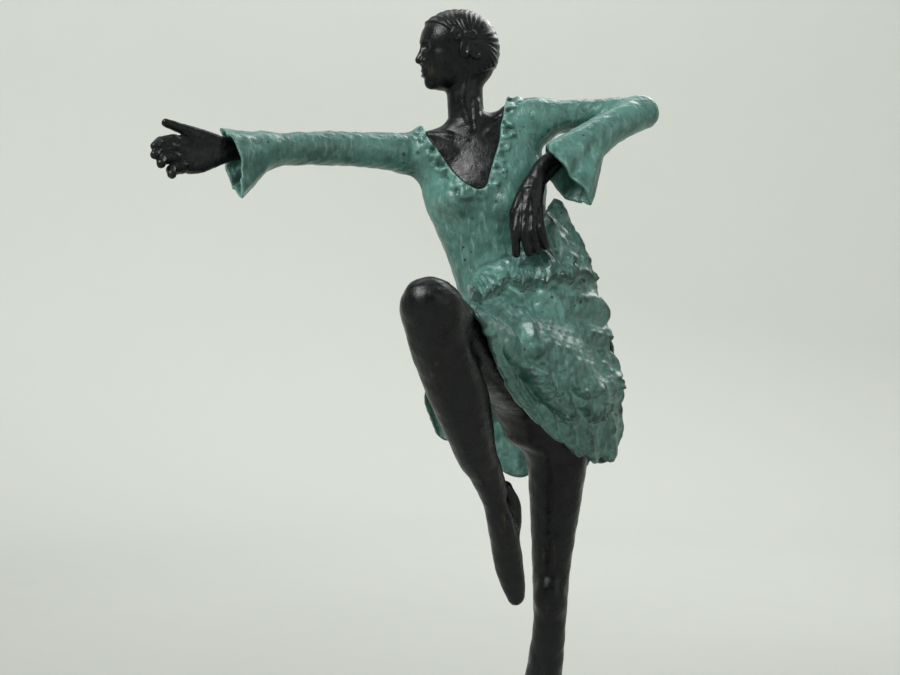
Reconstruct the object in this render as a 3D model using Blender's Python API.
"""Cast bronze dancer on a stepped, turned marble base, as the separate pieces that a workshop pins together.

Run it with: blender --background --python part.py

Every size and place is in millimetres. The origin is the centre of the felt's underside, +Z is up, and the
dancer faces -Y. Places on the figure are measured from the ball of the standing foot, which `on_ground`
lifts onto the base.
"""

import math

import bmesh
import bpy
from mathutils import Matrix, Vector

MM = 0.001  # metres in a millimetre
GAP = 0.3  # clearance between pieces that meet

# Base, from the table upwards
FELT_THICKNESS = 1.5
FELT_RADIUS = 57.0
STEP_RADIUS, STEP_HEIGHT = 59.0, 16.0
DRUM_RADIUS, DRUM_HEIGHT = 43.0, 40.0
FOOT_PLATE_RADIUS, FOOT_PLATE_HEIGHT = 23.0, 3.0
STEP_BOTTOM = FELT_THICKNESS + GAP
DRUM_BOTTOM = STEP_BOTTOM + STEP_HEIGHT + GAP
FOOT_PLATE_BOTTOM = DRUM_BOTTOM + DRUM_HEIGHT + GAP
GROUND = FOOT_PLATE_BOTTOM + FOOT_PLATE_HEIGHT + GAP

# Fixings
STUD_RADIUS = 2.5
STUD_IN_FOOT = 15.0
NUT_RADIUS, NUT_HEIGHT = 4.6, 4.0
WASHER_RADIUS, WASHER_HEIGHT = 7.5, 1.2
NUT_RECESS_RADIUS, NUT_RECESS_DEPTH = 10.5, 9.0
LOCATING_PIN_RADIUS, LOCATING_PIN_OFFSET = 1.0, 6.5
DOWEL_RADIUS, SMALL_DOWEL_RADIUS, SKIRT_PIN_RADIUS = 2.5, 1.5, 0.9
SKIRT_PIN_LENGTH = 7.0
DOWEL_SIDES = 12
JOINT_CUTTER = 64.0  # side of the block that cuts a casting back to its joint plane

# Walls of the hollow castings
BODICE_WALL = 3.5
CORE_WAY_RADIUS = 7.0
WAIST_DOWEL_OFFSET = 11.0
CUFF_WALL = 1.8

# Colours: linear RGB, roughness, metallic
DARK_BRONZE = ("dark_bronze", (0.020, 0.020, 0.021), 0.35, 0.6)
GREEN_PATINA = ("green_patina", (0.085, 0.185, 0.150), 0.40, 0.2)
BRASS = ("brass", (0.45, 0.30, 0.11), 0.35, 1.0)
STEEL = ("steel", (0.42, 0.42, 0.42), 0.40, 1.0)
MARBLE = ("black_marble", (0.022, 0.022, 0.024), 0.15, 0.0)
FELT = ("green_felt", (0.020, 0.050, 0.030), 0.95, 0.0)

FRONT = Vector((0, -1, 0))
UP = Vector((0, 0, 1))


def on_ground(x, y, z):
    """A point of the figure, given from the ball of the standing foot."""
    return Vector((x, y, z + GROUND))


# Joints of the pose
STANDING_HIP = on_ground(6, 4, 226)
RAISED_HIP = on_ground(-9, -8, 231)
RAISED_KNEE = on_ground(-50.5, -82, 265)
WAIST = on_ground(-18, 0, 268)
CHEST_PLUG_BACK = on_ground(-33, 5.15, 334)
HEAD_CENTRE = on_ground(-38, 0, 383)
RIGHT_SHOULDER = on_ground(-62, -2, 335.5)
LEFT_SHOULDER = on_ground(0, 4, 352.5)
RIGHT_WRIST = on_ground(-121.4, -42.3, 330.5)
LEFT_WRIST = on_ground(19.7, -11.3, 339.7)

# Directions of the pose
TORSO_AXIS = Vector((-0.2, 0, 1)).normalized()
THIGH_AXIS = (RAISED_KNEE - RAISED_HIP).normalized()
RIGHT_ARM_AXIS = Vector((-0.82, -0.57, -0.08)).normalized()
FOREARM_AXIS = Vector((-0.70, -0.44, -0.56)).normalized()
FACE_AXIS = Vector((-0.96, -0.28, 0.03)).normalized()
TOE_AXIS = Vector((0.5, -0.866, 0))

# Joint planes, as (point, normal out of the inner piece)
RAISED_HIP_PLANE = (RAISED_HIP + THIGH_AXIS * 12, THIGH_AXIS)
STANDING_HIP_PLANE = (on_ground(6, 4, 205), -UP)
WAIST_PLANE = (WAIST, TORSO_AXIS)
RIGHT_SHOULDER_PLANE = (RIGHT_SHOULDER, Vector((-0.95, -0.3, 0)).normalized())
LEFT_SHOULDER_PLANE = (LEFT_SHOULDER, Vector((1, 0, 0)))

SOLE_PLANE = (Vector((0, 0, GROUND)), UP)

# Limbs and trunk, as stations: x, y, z, half width, half depth
TRUNK = (
    (-4, 0, 208, 15, 14), (-3, -1, 218, 21, 17), (-5, -1, 234, 25, 18), (-12, 0, 252, 22.5, 16.5),
    (-17, 0, 265, 20, 14), (-19.5, 0, 277, 20, 13.5), (-22, 0, 292, 22.5, 14), (-24.5, 0, 306, 25.5, 15.5),
    (-27, 0, 319, 28, 16.5), (-29, 1, 331, 27.5, 14), (-31, 2, 341, 24, 11), (-33, 2, 348, 16, 8),
)
RIGHT_ARM = (
    (-46, 1, 337, 10, 10), (-62, -2, 335.5, 9.5, 9), (-70, -8, 335.5, 8.3, 8.3), (-85, -17, 335, 7.5, 7.5),
    (-99, -26, 334, 7.2, 7.2), (-107, -31, 333, 6.6, 6.6), (-114, -36, 332, 6.2, 6.2),
    (-121, -42, 330.5, 8.0, 7.2), (-127, -47.5, 328.5, 11, 9), (-131.5, -52, 326.5, 14.5, 11),
)
LEFT_UPPER_ARM = (
    (-14, 3, 350, 10, 10), (0, 4, 352.5, 9, 9), (11, 5, 353.7, 7.2, 7.2), (30, 5, 355, 7, 7),
    (42, 4.5, 355.5, 7.6, 7.6),
)
LEFT_FOREARM = (
    (45, 4, 355, 7.6, 7.6), (38, -1, 351.5, 7.4, 7.4), (28, -6, 346, 7.6, 7.6), (20, -11, 340, 8.2, 8),
    (13, -16, 333, 11.5, 9), (7.5, -20, 325.5, 16, 10.5),
)
STANDING_LEG = (
    (6, 4, 226, 15, 15), (6, 4, 202, 14.2, 14.5), (5, 3, 178, 11.7, 12.5), (3, 1, 150, 8.8, 9.8),
    (2, -1, 124, 7.4, 8.4), (0.5, 1, 107, 7.9, 8.8), (-1.5, 4, 88, 8.7, 9.4), (-2, 6, 66, 6.8, 7.4),
    (-2.5, 7, 46, 4.6, 5.2), (-2.5, 7, 36, 4.7, 6.4), (-1.5, 4, 22, 5.6, 6), (0, 0, 7.5, 6.4, 6),
)
RAISED_THIGH = (
    (-9, -8, 231, 16, 16), (-19.5, -27, 239.5, 15, 15.5), (-30, -46, 248, 13, 14),
    (-40, -64, 256.5, 11.5, 12.5), (-48, -78, 263.5, 11, 11.5),
)
RAISED_SHIN = (
    (-50.5, -82, 264.5, 11.3, 11), (-48.5, -78, 253, 11, 11), (-44, -71, 240, 11.4, 11),
    (-40.5, -65, 228, 11.6, 11.2), (-37, -60, 216, 10, 10), (-33, -54, 204, 7.8, 8.4),
    (-28.5, -49, 196, 6.2, 6.6), (-24.5, -43, 184, 5, 5.6), (-21, -39, 172, 5.8, 6.6),
    (-19, -36, 161.5, 5.8, 5.6), (-16.7, -33, 150.5, 5.2, 4.4), (-15, -31, 142.5, 3.8, 3.2),
)
NECK = (
    (-32, 1, 326, 6, 4.5), (-33, 1, 338, 8.5, 7.5), (-35, 1.5, 350, 8.7, 8.4), (-36, 1.5, 358, 8.2, 8),
    (-36.5, 1.5, 370, 8.4, 8.4), (-37, 1, 380, 8.5, 8.5),
)
RIGHT_PALM = (
    (-121.8, -42.7, 330.5, 4.2, 4.0), (-132, -51.5, 330, 3.8, 3.6), (-139, -58, 328.5, 6, 3.6),
    (-147, -64, 326, 7.5, 3.4),
)
LEFT_PALM = (
    (18.8, -11.9, 338.8, 4.4, 4.2), (14.5, -14.5, 335, 4, 4), (8, -17, 332.8, 3.7, 3.7),
    (2, -19, 331, 3.4, 3.4), (-3.5, -21.5, 326, 3.6, 3.4), (-6.5, -24.5, 318, 4.6, 3.3),
    (-8.5, -26, 308, 6, 3),
)

STANDING_TOES = ((-1, 1.7, 4, 4, 3), (2.5, -4.3, 4, 6, 3), (7, -12, 4, 5, 2.4))
STANDING_HEEL = ((-5.5, 12, 42, 2.6, 3), (-5.5, 12, 35, 3.6, 4), (-3.5, 8.5, 27, 4, 4.5))
RAISED_HEEL = ((-19.5, -35, 189, 3, 3.2), (-16.5, -34, 180, 3.8, 3.6), (-17, -34, 168, 3.4, 3.4))

# Forms of the head: name, distance forwards and up from its centre, half lengths forwards, sideways and up
HEAD_FORMS = (
    ("cranium", -1.5, 0.5, (17.3, 13.2, 16.4)),
    ("face", 6, -5, (10.5, 10, 14)),
    ("nose", 16.6, -3.5, (2.2, 1.6, 3)),
)

# Fingers and thumbs, as the places of the root, the bend and the tip
FINGER_RADIUS = 1.9
RIGHT_FINGERS = (
    ((-147, -62.5, 331), (-153, -68, 330.5), (-158, -72.5, 327.5)),
    ((-147.5, -64, 328), (-153, -70.5, 326), (-157.5, -75, 322.5)),
    ((-147, -64.5, 324.5), (-151.5, -71, 321.5), (-154.5, -75, 318)),
    ((-145.5, -64, 321), (-149, -69.5, 317.5), (-151, -73, 314)),
    ((-139, -56.5, 332), (-147, -62, 335), (-154.5, -67, 337.5)),
)
LEFT_FINGERS = (
    ((-12, -26.5, 309), (-13.5, -27.5, 299), (-13, -27, 291)),
    ((-10, -27, 307), (-10.5, -29, 297), (-8.5, -28.5, 289)),
    ((-7.5, -27, 307), (-6.5, -29, 297), (-4.5, -28.5, 290)),
    ((-5, -26, 308), (-3, -28, 299), (-0.5, -27.5, 292.5)),
    ((-9, -25, 318), (-14.5, -26, 309), (-17, -26.5, 301)),
)

# V-shaped opening of the neckline, seen from the front, as (x, z above the ground)
NECKLINE = ((-54, 360), (-54, 342), (-50, 338), (-29, 319.5), (-20, 341), (-17.5, 356), (-17.5, 372))
NECKLINE_FRONT, NECKLINE_BACK = -40.0, 5.0

# Skirt control nets, top edge to hem, each row running from the figure's right side to its left
SKIRT_THICKNESS = 2.2
SKIRT_FRONT = (
    ((-36, -11, 277), (-23, -16, 283), (-8, -15, 289), (3, -9, 299), (7, 0, 312)),
    ((-38, -42, 273), (-26, -42, 268), (-10, -36, 265), (10, -24, 270), (26, 0, 272)),
    ((-32, -62, 258), (-20, -57, 248), (-2, -42, 242), (17, -26, 245), (33, 2, 247)),
    ((-25, -61, 243), (-14, -53, 231), (0, -38, 224), (19, -24, 225), (37, 4, 228)),
    ((-18, -54, 229), (-8, -42, 217), (5, -28, 206), (19, -17, 195), (35, 6, 197)),
)
SKIRT_BACK = (
    ((8, 3, 312), (0, 14, 300), (-16, 17, 288), (-33, 13, 281), (-41, 3, 278)),
    ((27, 5, 272), (14, 27, 262), (-12, 31, 258), (-38, 24, 260), (-46, 6, 264)),
    ((34, 6, 247), (18, 33, 238), (-12, 38, 233), (-42, 30, 238), (-53, 13, 247)),
    ((38, 8, 228), (20, 37, 214), (-12, 41, 208), (-42, 35, 216), (-57, 22, 229)),
    ((36, 10, 197), (20, 39, 191), (-8, 43, 186), (-38, 38, 199), (-50, 28, 211)),
)

# Pins of the skirt, as (place, direction)
FRONT_PINS = (((-28.7, -12.5, 280.5), (0.3, 1, 0)), ((-15.1, -13, 287), (-0.15, 1, 0)))
BACK_PINS = (((-8.2, 13, 292), (-0.2, -1, 0)), ((-27.8, 12, 284), (0.2, -1, 0)))


def empty_scene():
    for old in list(bpy.data.objects):
        bpy.data.objects.remove(old, do_unlink=True)


def material(finish):
    """One shared Principled material for each finish."""
    name, colour, roughness, metallic = finish
    found = bpy.data.materials.get(name)
    if found:
        return found
    made = bpy.data.materials.new(name)
    made.use_nodes = True
    shader = made.node_tree.nodes["Principled BSDF"]
    shader.inputs["Base Color"].default_value = (*colour, 1)
    shader.inputs["Roughness"].default_value = roughness
    shader.inputs["Metallic"].default_value = metallic
    return made


def add_object(name, bm, finish=None):
    """Turns a bmesh drawn in millimetres into an object in metres. With no finish it is a helper."""
    bmesh.ops.recalc_face_normals(bm, faces=bm.faces)
    if bm.calc_volume(signed=True) < 0:
        bmesh.ops.reverse_faces(bm, faces=bm.faces)
    bmesh.ops.scale(bm, vec=(MM, MM, MM), verts=bm.verts)
    mesh = bpy.data.meshes.new(name)
    bm.to_mesh(mesh)
    bm.free()
    mesh.shade_smooth()
    mesh.set_sharp_from_angle(angle=math.radians(40))
    made = bpy.data.objects.new(name, mesh)
    bpy.context.scene.collection.objects.link(made)
    if finish:
        mesh.materials.append(material(finish))
    else:
        made.hide_render = True
        made.display_type = "WIRE"
    return made


def boolean(target, other, operation):
    step = target.modifiers.new(f"{operation.lower()}_{other.name}", "BOOLEAN")
    step.operation = operation
    step.solver = "EXACT"
    step.object = other
    return target


def curve_through(stations, steps):
    """Catmull-Rom interpolation of rows of numbers, with `steps` rows for each span."""
    rows = [Vector(row) for row in stations]
    rows = [2 * rows[0] - rows[1], *rows, 2 * rows[-1] - rows[-2]]
    made = []
    for before, start, end, after in zip(rows, rows[1:], rows[2:], rows[3:]):
        for step in range(steps):
            t = step / steps
            made.append(
                0.5 * (2 * start + (end - before) * t + (2 * before - 5 * start + 4 * end - after) * t * t
                       + (3 * start - before - 3 * end + after) * t ** 3)
            )
    return [*made, rows[-2]]


def ring(bm, centre, tangent, half_width, half_depth, sides):
    """An elliptical ring of vertices square to the tangent, its depth running towards the front."""
    across = tangent.cross(FRONT).normalized()
    deep = across.cross(tangent).normalized()
    made = []
    for side in range(sides):
        angle = 2 * math.pi * side / sides
        spoke = across * (half_width * math.cos(angle)) + deep * (half_depth * math.sin(angle))
        made.append(bm.verts.new(centre + spoke))
    return made


def loft(name, stations, finish=None, sides=14, steps=2, grow=0.0, domes=(0.0, 0.0)):
    """A closed tube through stations. Each end is flat, or a dome of the given length."""
    rows = curve_through(stations, steps)
    centres = [on_ground(*row[:3]) for row in rows]
    sizes = [Vector(row[3:5]) + Vector((grow, grow)) for row in rows]
    tangents = [
        (centres[min(i + 1, len(rows) - 1)] - centres[max(i - 1, 0)]).normalized() for i in range(len(rows))
    ]
    rings = [list(item) for item in zip(centres, tangents, sizes)]
    for end, outward in ((0, -1), (-1, 1)):
        centre, tangent, size = rings[end]
        for angle in (35, 65, 84) if domes[end] else ():
            reach = outward * domes[end] * math.sin(math.radians(angle))
            extra = [centre + tangent * reach, tangent, size * math.cos(math.radians(angle))]
            rings.insert(len(rings) if end else 0, extra)
    bm = bmesh.new()
    loops = [ring(bm, centre, tangent, *size, sides) for centre, tangent, size in rings]
    for lower, upper in zip(loops, loops[1:]):
        for i in range(sides):
            j = (i + 1) % sides
            bm.faces.new((lower[i], lower[j], upper[j], upper[i]))
    bm.faces.new(loops[0])
    bm.faces.new(loops[-1])
    return add_object(name, bm, finish)


def rod(name, start, end, radius, finish=None, sides=DOWEL_SIDES):
    """A straight round bar with small chamfers, or a plain cutter if it has no finish."""
    chamfer = min(0.3, radius * 0.2) if finish else 0
    axis = (end - start).normalized()
    stops = [(start, radius - chamfer), (end, radius - chamfer)]
    if chamfer:
        stops[1:1] = [(start + axis * chamfer, radius), (end - axis * chamfer, radius)]
    bm = bmesh.new()
    turn = axis.to_track_quat("Z", "Y").to_matrix()
    loops = []
    for centre, size in stops:
        spokes = [2 * math.pi * i / sides for i in range(sides)]
        points = [centre + turn @ Vector((size * math.cos(a), size * math.sin(a), 0)) for a in spokes]
        loops.append([bm.verts.new(point) for point in points])
    for lower, upper in zip(loops, loops[1:]):
        for i in range(sides):
            j = (i + 1) % sides
            bm.faces.new((lower[i], lower[j], upper[j], upper[i]))
    bm.faces.new(loops[0])
    bm.faces.new(loops[-1])
    return add_object(name, bm, finish)


def turned(name, profile, finish, bore_radius, sides=40):
    """A piece turned about Z from (radius, z) points, outer side from the bottom up, with a central bore."""
    outline = [(bore_radius, profile[0][1]), *profile, (bore_radius, profile[-1][1])]
    bm = bmesh.new()
    loops = []
    for radius, height in outline:
        angles = [2 * math.pi * i / sides for i in range(sides)]
        loops.append([bm.verts.new((radius * math.cos(a), radius * math.sin(a), height)) for a in angles])
    for lower, upper in zip(loops, [*loops[1:], loops[0]]):
        for i in range(sides):
            j = (i + 1) % sides
            bm.faces.new((lower[i], lower[j], upper[j], upper[i]))
    return add_object(name, bm, finish)


def rounded_edge(radius, height, edge, turn):
    """Profile points of a quarter-round: turn 1 rounds a lower edge, turn -1 an upper edge."""
    angles = (0, 30, 60, 90) if turn > 0 else (90, 60, 30, 0)
    return [
        (
            radius - edge + edge * math.sin(math.radians(angle)),
            height + turn * edge * (1 - math.cos(math.radians(angle))),
        )
        for angle in angles
    ]


def keep_side(target, plane, side):
    """Cuts a piece back to one side of a joint plane: side 1 keeps what the normal points to."""
    point, normal = plane
    bm = bmesh.new()
    bmesh.ops.create_cube(bm, size=JOINT_CUTTER)
    away = -side * normal
    turn = away.to_track_quat("Z", "Y").to_matrix().to_4x4()
    centre = point + away * (JOINT_CUTTER - GAP) / 2
    bmesh.ops.transform(bm, matrix=Matrix.Translation(centre) @ turn, verts=bm.verts)
    return boolean(target, add_object(f"{target.name}_beyond_joint", bm), "DIFFERENCE")


def dowel(name, centre, axis, length, radius, pieces, finish=STEEL):
    """A pin across a joint, and its clearance hole in each piece that it holds."""
    half = axis * (length / 2)
    pin = rod(name, centre - half, centre + half, radius, finish)
    longer = axis * (length / 2 + GAP)
    hole = rod(f"{name}_hole", centre - longer, centre + longer, radius + GAP)
    for piece in pieces:
        boolean(piece, hole, "DIFFERENCE")
    return pin


def panel(name, net, finish):
    """A curved sheet through a control net, given its thickness inwards."""
    columns, rows = len(net[0]), len(net)
    bm = bmesh.new()
    grid = [[bm.verts.new(on_ground(*point)) for point in row] for row in net]
    for r in range(rows - 1):
        for c in range(columns - 1):
            bm.faces.new((grid[r][c], grid[r + 1][c], grid[r + 1][c + 1], grid[r][c + 1]))
    made = add_object(name, bm, finish)
    smooth = made.modifiers.new("smooth", "SUBSURF")
    smooth.levels = smooth.render_levels = 2
    smooth.boundary_smooth = "PRESERVE_CORNERS"
    shell = made.modifiers.new("thickness", "SOLIDIFY")
    shell.thickness = SKIRT_THICKNESS * MM
    shell.offset = 0
    shell.use_even_offset = True
    return made


def finger(name, root, knuckle, tip):
    """A tapering finger with one bend."""
    rows = [
        (*point, FINGER_RADIUS * share, FINGER_RADIUS * share)
        for point, share in zip((root, knuckle, tip), (1, 0.92, 0.72))
    ]
    return loft(name, rows, sides=8, steps=1, domes=(1.1, 1.3))


def build_base():
    """The felt, the two marble pieces, the bronze plate and the fixings that hold the foot."""
    bore = STUD_RADIUS + GAP
    rod("felt_pad", UP * 0, UP * FELT_THICKNESS, FELT_RADIUS, FELT, sides=40)

    step_top = STEP_BOTTOM + STEP_HEIGHT
    step_profile = [
        *rounded_edge(STEP_RADIUS, STEP_BOTTOM, 1.5, 1),
        (STEP_RADIUS, step_top - 6), *rounded_edge(STEP_RADIUS - 2, step_top, 4, -1),
    ]
    step = turned("plinth_step", step_profile, MARBLE, bore)
    recess_top = STEP_BOTTOM + NUT_RECESS_DEPTH
    recess = rod("nut_recess", UP * (STEP_BOTTOM - 1), UP * recess_top, NUT_RECESS_RADIUS, sides=24)
    boolean(step, recess, "DIFFERENCE")

    drum_top = DRUM_BOTTOM + DRUM_HEIGHT
    drum_profile = [
        (DRUM_RADIUS, DRUM_BOTTOM), (DRUM_RADIUS, DRUM_BOTTOM + 3), (DRUM_RADIUS - 2, DRUM_BOTTOM + 5),
        (DRUM_RADIUS - 3, drum_top - 6), (DRUM_RADIUS - 1, drum_top - 4),
        *rounded_edge(DRUM_RADIUS - 1, drum_top, 1.2, -1),
    ]
    drum = turned("plinth_drum", drum_profile, MARBLE, bore)

    plate_top = FOOT_PLATE_BOTTOM + FOOT_PLATE_HEIGHT
    plate_profile = [
        (FOOT_PLATE_RADIUS, FOOT_PLATE_BOTTOM), *rounded_edge(FOOT_PLATE_RADIUS, plate_top, 2, -1),
    ]
    plate = turned("foot_plate", plate_profile, DARK_BRONZE, bore)

    rod("mounting_stud", UP * (STEP_BOTTOM + 1), UP * (GROUND + STUD_IN_FOOT), STUD_RADIUS, STEEL)
    washer_top = recess_top - GAP
    washer_bottom = washer_top - WASHER_HEIGHT
    washer_profile = [(WASHER_RADIUS, washer_bottom), (WASHER_RADIUS, washer_top)]
    turned("stud_washer", washer_profile, STEEL, bore, sides=24)
    nut_top = washer_bottom - GAP
    nut_bottom = nut_top - NUT_HEIGHT
    nut = rod("stud_nut", UP * nut_bottom, UP * nut_top, NUT_RADIUS, BRASS, sides=6)
    boolean(nut, rod("nut_bore", UP * (nut_bottom - 1), UP * (nut_top + 1), bore), "DIFFERENCE")
    return drum, plate


def build_pelvis():
    """The dark core of the hips, with a short stub for each leg."""
    pelvis = loft("pelvis", TRUNK[:6], DARK_BRONZE, sides=20, domes=(5, 0))
    for name, stations in (("standing", STANDING_LEG[:4]), ("raised", RAISED_THIGH[:3])):
        boolean(pelvis, loft(f"{name}_hip_stub", stations, domes=(9, 0)), "UNION")
    for plane in (WAIST_PLANE, STANDING_HIP_PLANE, RAISED_HIP_PLANE):
        keep_side(pelvis, plane, -1)
    return pelvis


def build_standing_leg(pelvis, drum, plate):
    """The leg that carries the figure, studded to the base and kept from turning by a pin."""
    leg = loft("standing_leg", STANDING_LEG, DARK_BRONZE, domes=(9, 6.5))
    boolean(leg, loft("standing_toes", STANDING_TOES, sides=12, domes=(3, 2)), "UNION")
    boolean(leg, loft("standing_heel", STANDING_HEEL, sides=12, domes=(3, 3)), "UNION")
    keep_side(leg, STANDING_HIP_PLANE, 1)
    keep_side(leg, SOLE_PLANE, 1)

    dowel("standing_hip_dowel", STANDING_HIP_PLANE[0], UP, 30, DOWEL_RADIUS, (pelvis, leg))
    sole = SOLE_PLANE[0]
    stud_end = sole + UP * (STUD_IN_FOOT + GAP)
    stud_hole = rod("foot_stud_hole", sole - UP * 2, stud_end, STUD_RADIUS + GAP)
    boolean(leg, stud_hole, "DIFFERENCE")
    pin_centre = sole + TOE_AXIS * LOCATING_PIN_OFFSET - UP * 2
    dowel("locating_pin", pin_centre, UP, 10, LOCATING_PIN_RADIUS, (leg, plate, drum))


def build_raised_leg(pelvis):
    leg = loft("raised_leg", RAISED_THIGH, DARK_BRONZE, domes=(9, 10))
    boolean(leg, loft("raised_shin", RAISED_SHIN, domes=(10.5, 3)), "UNION")
    boolean(leg, loft("raised_heel", RAISED_HEEL, sides=12, domes=(3, 3)), "UNION")
    keep_side(leg, RAISED_HIP_PLANE, 1)
    dowel("raised_hip_dowel", RAISED_HIP_PLANE[0], THIGH_AXIS, 26, DOWEL_RADIUS, (pelvis, leg))


def neckline(name, grow):
    """A prism of the neckline's outline, from in front of the chest to the middle of the neck."""
    middle = Vector((sum(x for x, _ in NECKLINE), sum(z for _, z in NECKLINE))) / len(NECKLINE)
    outline = [Vector(point) + (Vector(point) - middle).normalized() * grow * 1.4 for point in NECKLINE]
    bm = bmesh.new()
    front = [bm.verts.new(on_ground(x, NECKLINE_FRONT, z)) for x, z in outline]
    face = bm.faces.new(front)
    deep = bmesh.ops.extrude_face_region(bm, geom=[face])["geom"]
    shift = Vector((0, NECKLINE_BACK - NECKLINE_FRONT + grow, 0))
    bmesh.ops.translate(bm, vec=shift, verts=[item for item in deep if isinstance(item, bmesh.types.BMVert)])
    return add_object(name, bm)


def build_bodice(pelvis):
    """The green bodice: a hollow casting, open at the waist, with the V-shaped neckline cut out of it."""
    bodice = loft("bodice", TRUNK[4:], GREEN_PATINA, sides=20, domes=(0, 5))
    for name, stations in (("right", RIGHT_ARM[:3]), ("left", LEFT_UPPER_ARM[:3])):
        boolean(bodice, loft(f"{name}_shoulder_stub", stations, domes=(8, 0)), "UNION")
    keep_side(bodice, WAIST_PLANE, 1)
    for plane in (RIGHT_SHOULDER_PLANE, LEFT_SHOULDER_PLANE):
        keep_side(bodice, plane, -1)
    core = [(*row[:3], row[3] - BODICE_WALL, row[4] - BODICE_WALL) for row in TRUNK[6:8]]
    boolean(bodice, loft("bodice_core", core, domes=(3, 4)), "DIFFERENCE")
    core_way = rod("core_way", WAIST - TORSO_AXIS * 5, WAIST + TORSO_AXIS * 26, CORE_WAY_RADIUS)
    boolean(bodice, core_way, "DIFFERENCE")
    boolean(bodice, neckline("neckline_opening", GAP), "DIFFERENCE")
    boolean(bodice, loft("neck_opening", NECK, grow=GAP, domes=(3, 0)), "DIFFERENCE")
    for number, offset in enumerate((-WAIST_DOWEL_OFFSET, WAIST_DOWEL_OFFSET), 1):
        centre = WAIST + Vector((offset, 0, 0))
        dowel(f"waist_dowel_{number}", centre, TORSO_AXIS, 18, SMALL_DOWEL_RADIUS, (pelvis, bodice))
    return bodice


def ellipsoid(name, centre, axes, radii):
    """A helper ellipsoid with its half lengths along three axes."""
    bm = bmesh.new()
    bmesh.ops.create_uvsphere(bm, u_segments=18, v_segments=12, radius=1)
    turn = Matrix(axes).transposed().to_4x4()
    placed = Matrix.Translation(centre) @ turn @ Matrix.Diagonal((*radii, 1))
    bmesh.ops.transform(bm, matrix=placed, verts=bm.verts)
    return add_object(name, bm)


def build_head(bodice):
    """Head, neck and the bare chest that fills the neckline, as one casting."""
    head = loft("head_and_neck", NECK, DARK_BRONZE, domes=(0, 4))
    chest = loft("bare_chest", TRUNK[4:], sides=20, domes=(0, 5))
    boolean(chest, neckline("chest_outline", 0), "INTERSECT")
    boolean(head, chest, "UNION")
    side = FACE_AXIS.cross(UP).normalized()
    crown = side.cross(FACE_AXIS)
    for name, forward, up, radii in HEAD_FORMS:
        centre = HEAD_CENTRE + FACE_AXIS * forward + crown * up
        boolean(head, ellipsoid(name, centre, (FACE_AXIS, side, crown), radii), "UNION")
    dowel("neck_dowel", CHEST_PLUG_BACK, FRONT, 12, SMALL_DOWEL_RADIUS, (head, bodice))


def hollow_cuff(sleeve, stations):
    """Opens the flared end of a sleeve, leaving a wall round it and a floor for the wrist."""
    inner = [(*row[:3], row[3] - CUFF_WALL, row[4] - CUFF_WALL) for row in stations[-3:]]
    last, before = Vector(inner[-1]), Vector(inner[-2])
    inner.append(tuple(2 * last - before))
    boolean(sleeve, loft(f"{sleeve.name}_hollow", inner), "DIFFERENCE")


def build_right_arm(bodice):
    """The sleeve that reaches out to the side, and the hand in its cuff."""
    sleeve = loft("right_sleeve", RIGHT_ARM, GREEN_PATINA)
    keep_side(sleeve, RIGHT_SHOULDER_PLANE, 1)
    hollow_cuff(sleeve, RIGHT_ARM)
    dowel("right_shoulder_dowel", RIGHT_SHOULDER, RIGHT_SHOULDER_PLANE[1], 24, DOWEL_RADIUS, (bodice, sleeve))

    hand = loft("right_hand", RIGHT_PALM, DARK_BRONZE, sides=12, domes=(0, 2))
    for number, points in enumerate(RIGHT_FINGERS, 1):
        boolean(hand, finger(f"right_finger_{number}", *points), "UNION")
    dowel("right_wrist_dowel", RIGHT_WRIST, RIGHT_ARM_AXIS, 12, SMALL_DOWEL_RADIUS, (sleeve, hand))


def build_left_arm(bodice):
    """The bent sleeve, its forearm folded back in front of the upper arm, and the hand that hangs from it."""
    sleeve = loft("left_sleeve", LEFT_UPPER_ARM, GREEN_PATINA, domes=(0, 7))
    boolean(sleeve, loft("left_forearm", LEFT_FOREARM, domes=(7, 0)), "UNION")
    keep_side(sleeve, LEFT_SHOULDER_PLANE, 1)
    hollow_cuff(sleeve, LEFT_FOREARM)
    dowel("left_shoulder_dowel", LEFT_SHOULDER, LEFT_SHOULDER_PLANE[1], 24, DOWEL_RADIUS, (bodice, sleeve))

    hand = loft("left_hand", LEFT_PALM, DARK_BRONZE, sides=12, domes=(0, 2))
    for number, points in enumerate(LEFT_FINGERS, 1):
        boolean(hand, finger(f"left_finger_{number}", *points), "UNION")
    dowel("left_wrist_dowel", LEFT_WRIST, FOREARM_AXIS, 12, SMALL_DOWEL_RADIUS, (sleeve, hand))


def build_skirt(bodice):
    """The ruffled front of the skirt and its plain back, each pinned to the bodice near the waist."""
    clearances = (
        loft("trunk_clearance", TRUNK, sides=24, grow=GAP, domes=(5, 5)),
        loft("thigh_clearance", RAISED_THIGH, grow=GAP, domes=(9, 10)),
        loft("standing_clearance", STANDING_LEG[:5], grow=GAP, domes=(9, 0)),
    )
    sections = (("skirt_front", SKIRT_FRONT, FRONT_PINS), ("skirt_back", SKIRT_BACK, BACK_PINS))
    for name, net, pins in sections:
        skirt = panel(name, net, GREEN_PATINA)
        for clearance in clearances:
            boolean(skirt, clearance, "DIFFERENCE")
        for number, (place, direction) in enumerate(pins, 1):
            axis = Vector(direction).normalized()
            held = (skirt, bodice)
            dowel(f"{name}_pin_{number}", on_ground(*place), axis, SKIRT_PIN_LENGTH, SKIRT_PIN_RADIUS, held, BRASS)


def main():
    empty_scene()
    drum, plate = build_base()
    pelvis = build_pelvis()
    build_standing_leg(pelvis, drum, plate)
    build_raised_leg(pelvis)
    bodice = build_bodice(pelvis)
    build_head(bodice)
    build_right_arm(bodice)
    build_left_arm(bodice)
    build_skirt(bodice)


main()
